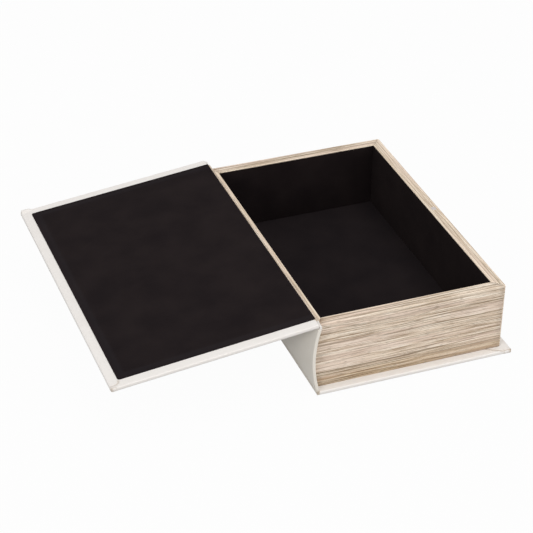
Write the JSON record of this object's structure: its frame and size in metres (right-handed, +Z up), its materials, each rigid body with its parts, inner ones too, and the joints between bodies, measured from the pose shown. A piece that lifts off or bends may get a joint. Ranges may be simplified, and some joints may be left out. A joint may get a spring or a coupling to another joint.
{
  "type": "book-shaped keepsake box",
  "caption": "Hinged box in the shape of a book: white case with a rounded spine, deep lined tray with wood-pattern page edges.",
  "frame": {"origin": "centre of the back cover's underside", "axes": "+X from the spine to the fore edge, +Y from tail to head, +Z up out of the tray; the front cover lies open towards -X"},
  "size_m": [0.3361, 0.2642, 0.0684],
  "materials": {
    "cover_sheet": "matt white imitation leather, fine grain",
    "page_paper": "matt paper with a printed washed-oak grain",
    "fibreboard": "raw fibreboard",
    "cover_board": "raw thin fibreboard",
    "flock_lining": "black short-pile flock",
    "magnet_plating": "bright nickel plating",
    "steel_disc": "plain steel"
  },
  "bodies": {
    "tray": {"back_board": "cover_board", "back_skin": "cover_sheet", "spine_board": "cover_board", "spine_skin": "cover_sheet", "spine_wall": "fibreboard", "tail_wall": "fibreboard", "head_wall": "fibreboard", "fore_edge_wall": "fibreboard", "tail_paper": "page_paper", "head_paper": "page_paper", "fore_edge_paper": "page_paper", "spine_rim_paper": "page_paper", "tail_lining": "flock_lining", "head_lining": "flock_lining", "fore_edge_lining": "flock_lining", "spine_lining": "flock_lining", "floor_lining": "flock_lining", "closure_magnet": "magnet_plating", "hinge_strip": "cover_sheet"},
    "cover": {"front_board": "cover_board", "front_skin": "cover_sheet", "cover_lining": "flock_lining", "catch_plate": "steel_disc"}
  },
  "joints": [
    {"name": "cover_hinge", "type": "hinge", "parent": "tray", "child": "cover", "pos_m": [-0.08375, 0, 0.06565], "axis": [0, 1, 0], "range_deg": [-16.1, 186.4]}
  ]
}
